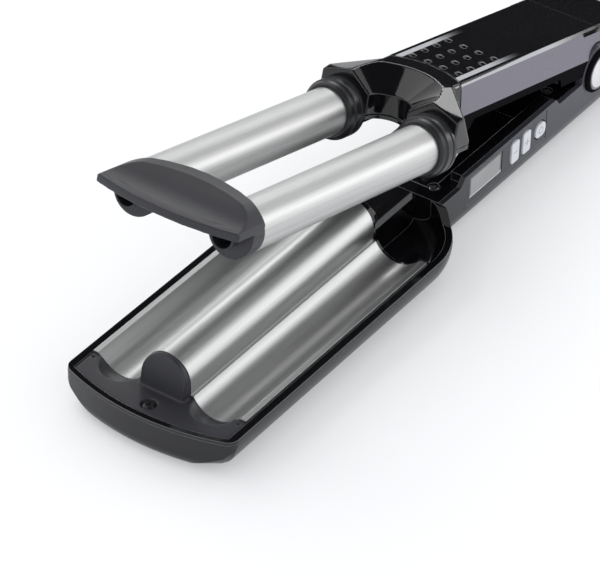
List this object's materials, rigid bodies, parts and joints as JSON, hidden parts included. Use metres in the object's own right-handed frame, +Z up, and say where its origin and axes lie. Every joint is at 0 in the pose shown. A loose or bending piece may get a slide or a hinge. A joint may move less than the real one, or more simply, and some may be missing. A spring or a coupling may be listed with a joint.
{
  "type": "hair waver",
  "caption": "Two-arm heated hair waver: twin metal barrels on the upper arm close into a double-grooved metal plate in a tray; long handles, side controls.",
  "frame": {"origin": "on the surface it lies on, under the middle of its length", "axes": "+Y from the tip to the cord end, +X to the side with the controls, +Z up, away from the tray's floor"},
  "size_m": [0.076, 0.318, 0.1002],
  "materials": {
    "shell_satin": "satin dark grey moulded plastic",
    "gloss_black": "polished black",
    "matte_dark": "matte heat-proof dark grey",
    "ferrule_dark": "matte, fine ribs",
    "titanium": "satin titanium coat, streaks along the length",
    "screw_steel": "zinc-plated",
    "black_screw": "blackened steel",
    "ceramic": "white heater ceramic",
    "mica": "mica sheet",
    "block_aluminium": "extruded",
    "fuse_tin": "tinned case",
    "board_green": "circuit board",
    "sensor_blue": "coated sensor",
    "display_grey": "liquid crystal, unlit",
    "window_clear": "clear cover over a pale display",
    "button_pale": "pale grey, glossy",
    "cap_silver": "satin silver face, grey ring",
    "pin_steel": "ground",
    "gland_rubber": "soft black"
  },
  "bodies": {
    "lower_arm": {"lower_housing": "shell_satin", "tray_frame": "gloss_black", "lower_handle_cover": "gloss_black", "wave_plate": "titanium", "front_end_cap": "matte_dark", "end_cap_screw": "black_screw", "plate_heaters": "ceramic", "heater_insulator": "mica", "heater_clamp": "block_aluminium", "thermal_fuse": "fuse_tin", "plate_sensor": "sensor_blue", "control_board": "board_green", "display_module": "display_grey", "display_window": "window_clear", "control_bezel": "shell_satin", "tact_switches": "screw_steel", "hinge_pin": "pin_steel", "hinge_cap_left": "cap_silver", "hinge_cap_right": "cap_silver", "hinge_spring": "pin_steel", "housing_screws": "screw_steel", "gland_retainer": "shell_satin"},
    "upper_arm": {"upper_housing": "gloss_black", "upper_liner": "gloss_black", "collar_upper": "gloss_black", "collar_lower": "gloss_black", "barrel_left": "titanium", "barrel_right": "titanium", "ferrule_left": "ferrule_dark", "ferrule_right": "ferrule_dark", "heat_blocks": "block_aluminium", "barrel_heaters": "ceramic", "tip_bridge": "matte_dark", "tip_carrier": "matte_dark", "tip_screws": "screw_steel", "collar_screws": "screw_steel", "liner_screws": "screw_steel", "barrel_sensor": "sensor_blue"},
    "cord_swivel": {"cord_swivel": "gland_rubber"},
    "button_minus": {"button_minus": "button_pale"},
    "button_plus": {"button_plus": "button_pale"},
    "button_power": {"button_power": "button_pale"}
  },
  "joints": [
    {"name": "jaw_hinge", "type": "hinge", "parent": "lower_arm", "child": "upper_arm", "pos_m": [0, 0.123, 0.022], "axis": [1, 0, 0], "range_deg": [0, 14.2], "stiffness_Nm_per_rad": 1, "springref_deg": -34.38, "deforming": ["hinge_spring"]},
    {"name": "minus_press", "type": "slide", "parent": "lower_arm", "child": "button_minus", "axis": [-1, 0, 0], "range_m": [0, 0.0004], "stiffness_N_per_m": 900, "springref_m": -0.0006},
    {"name": "plus_press", "type": "slide", "parent": "lower_arm", "child": "button_plus", "axis": [-1, 0, 0], "range_m": [0, 0.0004], "stiffness_N_per_m": 900, "springref_m": -0.0006},
    {"name": "power_press", "type": "slide", "parent": "lower_arm", "child": "button_power", "axis": [-1, 0, 0], "range_m": [0, 0.0004], "stiffness_N_per_m": 900, "springref_m": -0.0006},
    {"name": "cord_turn", "type": "hinge", "parent": "lower_arm", "child": "cord_swivel", "pos_m": [0, 0.151, 0.013], "axis": [0, 1, 0], "continuous": true}
  ]
}
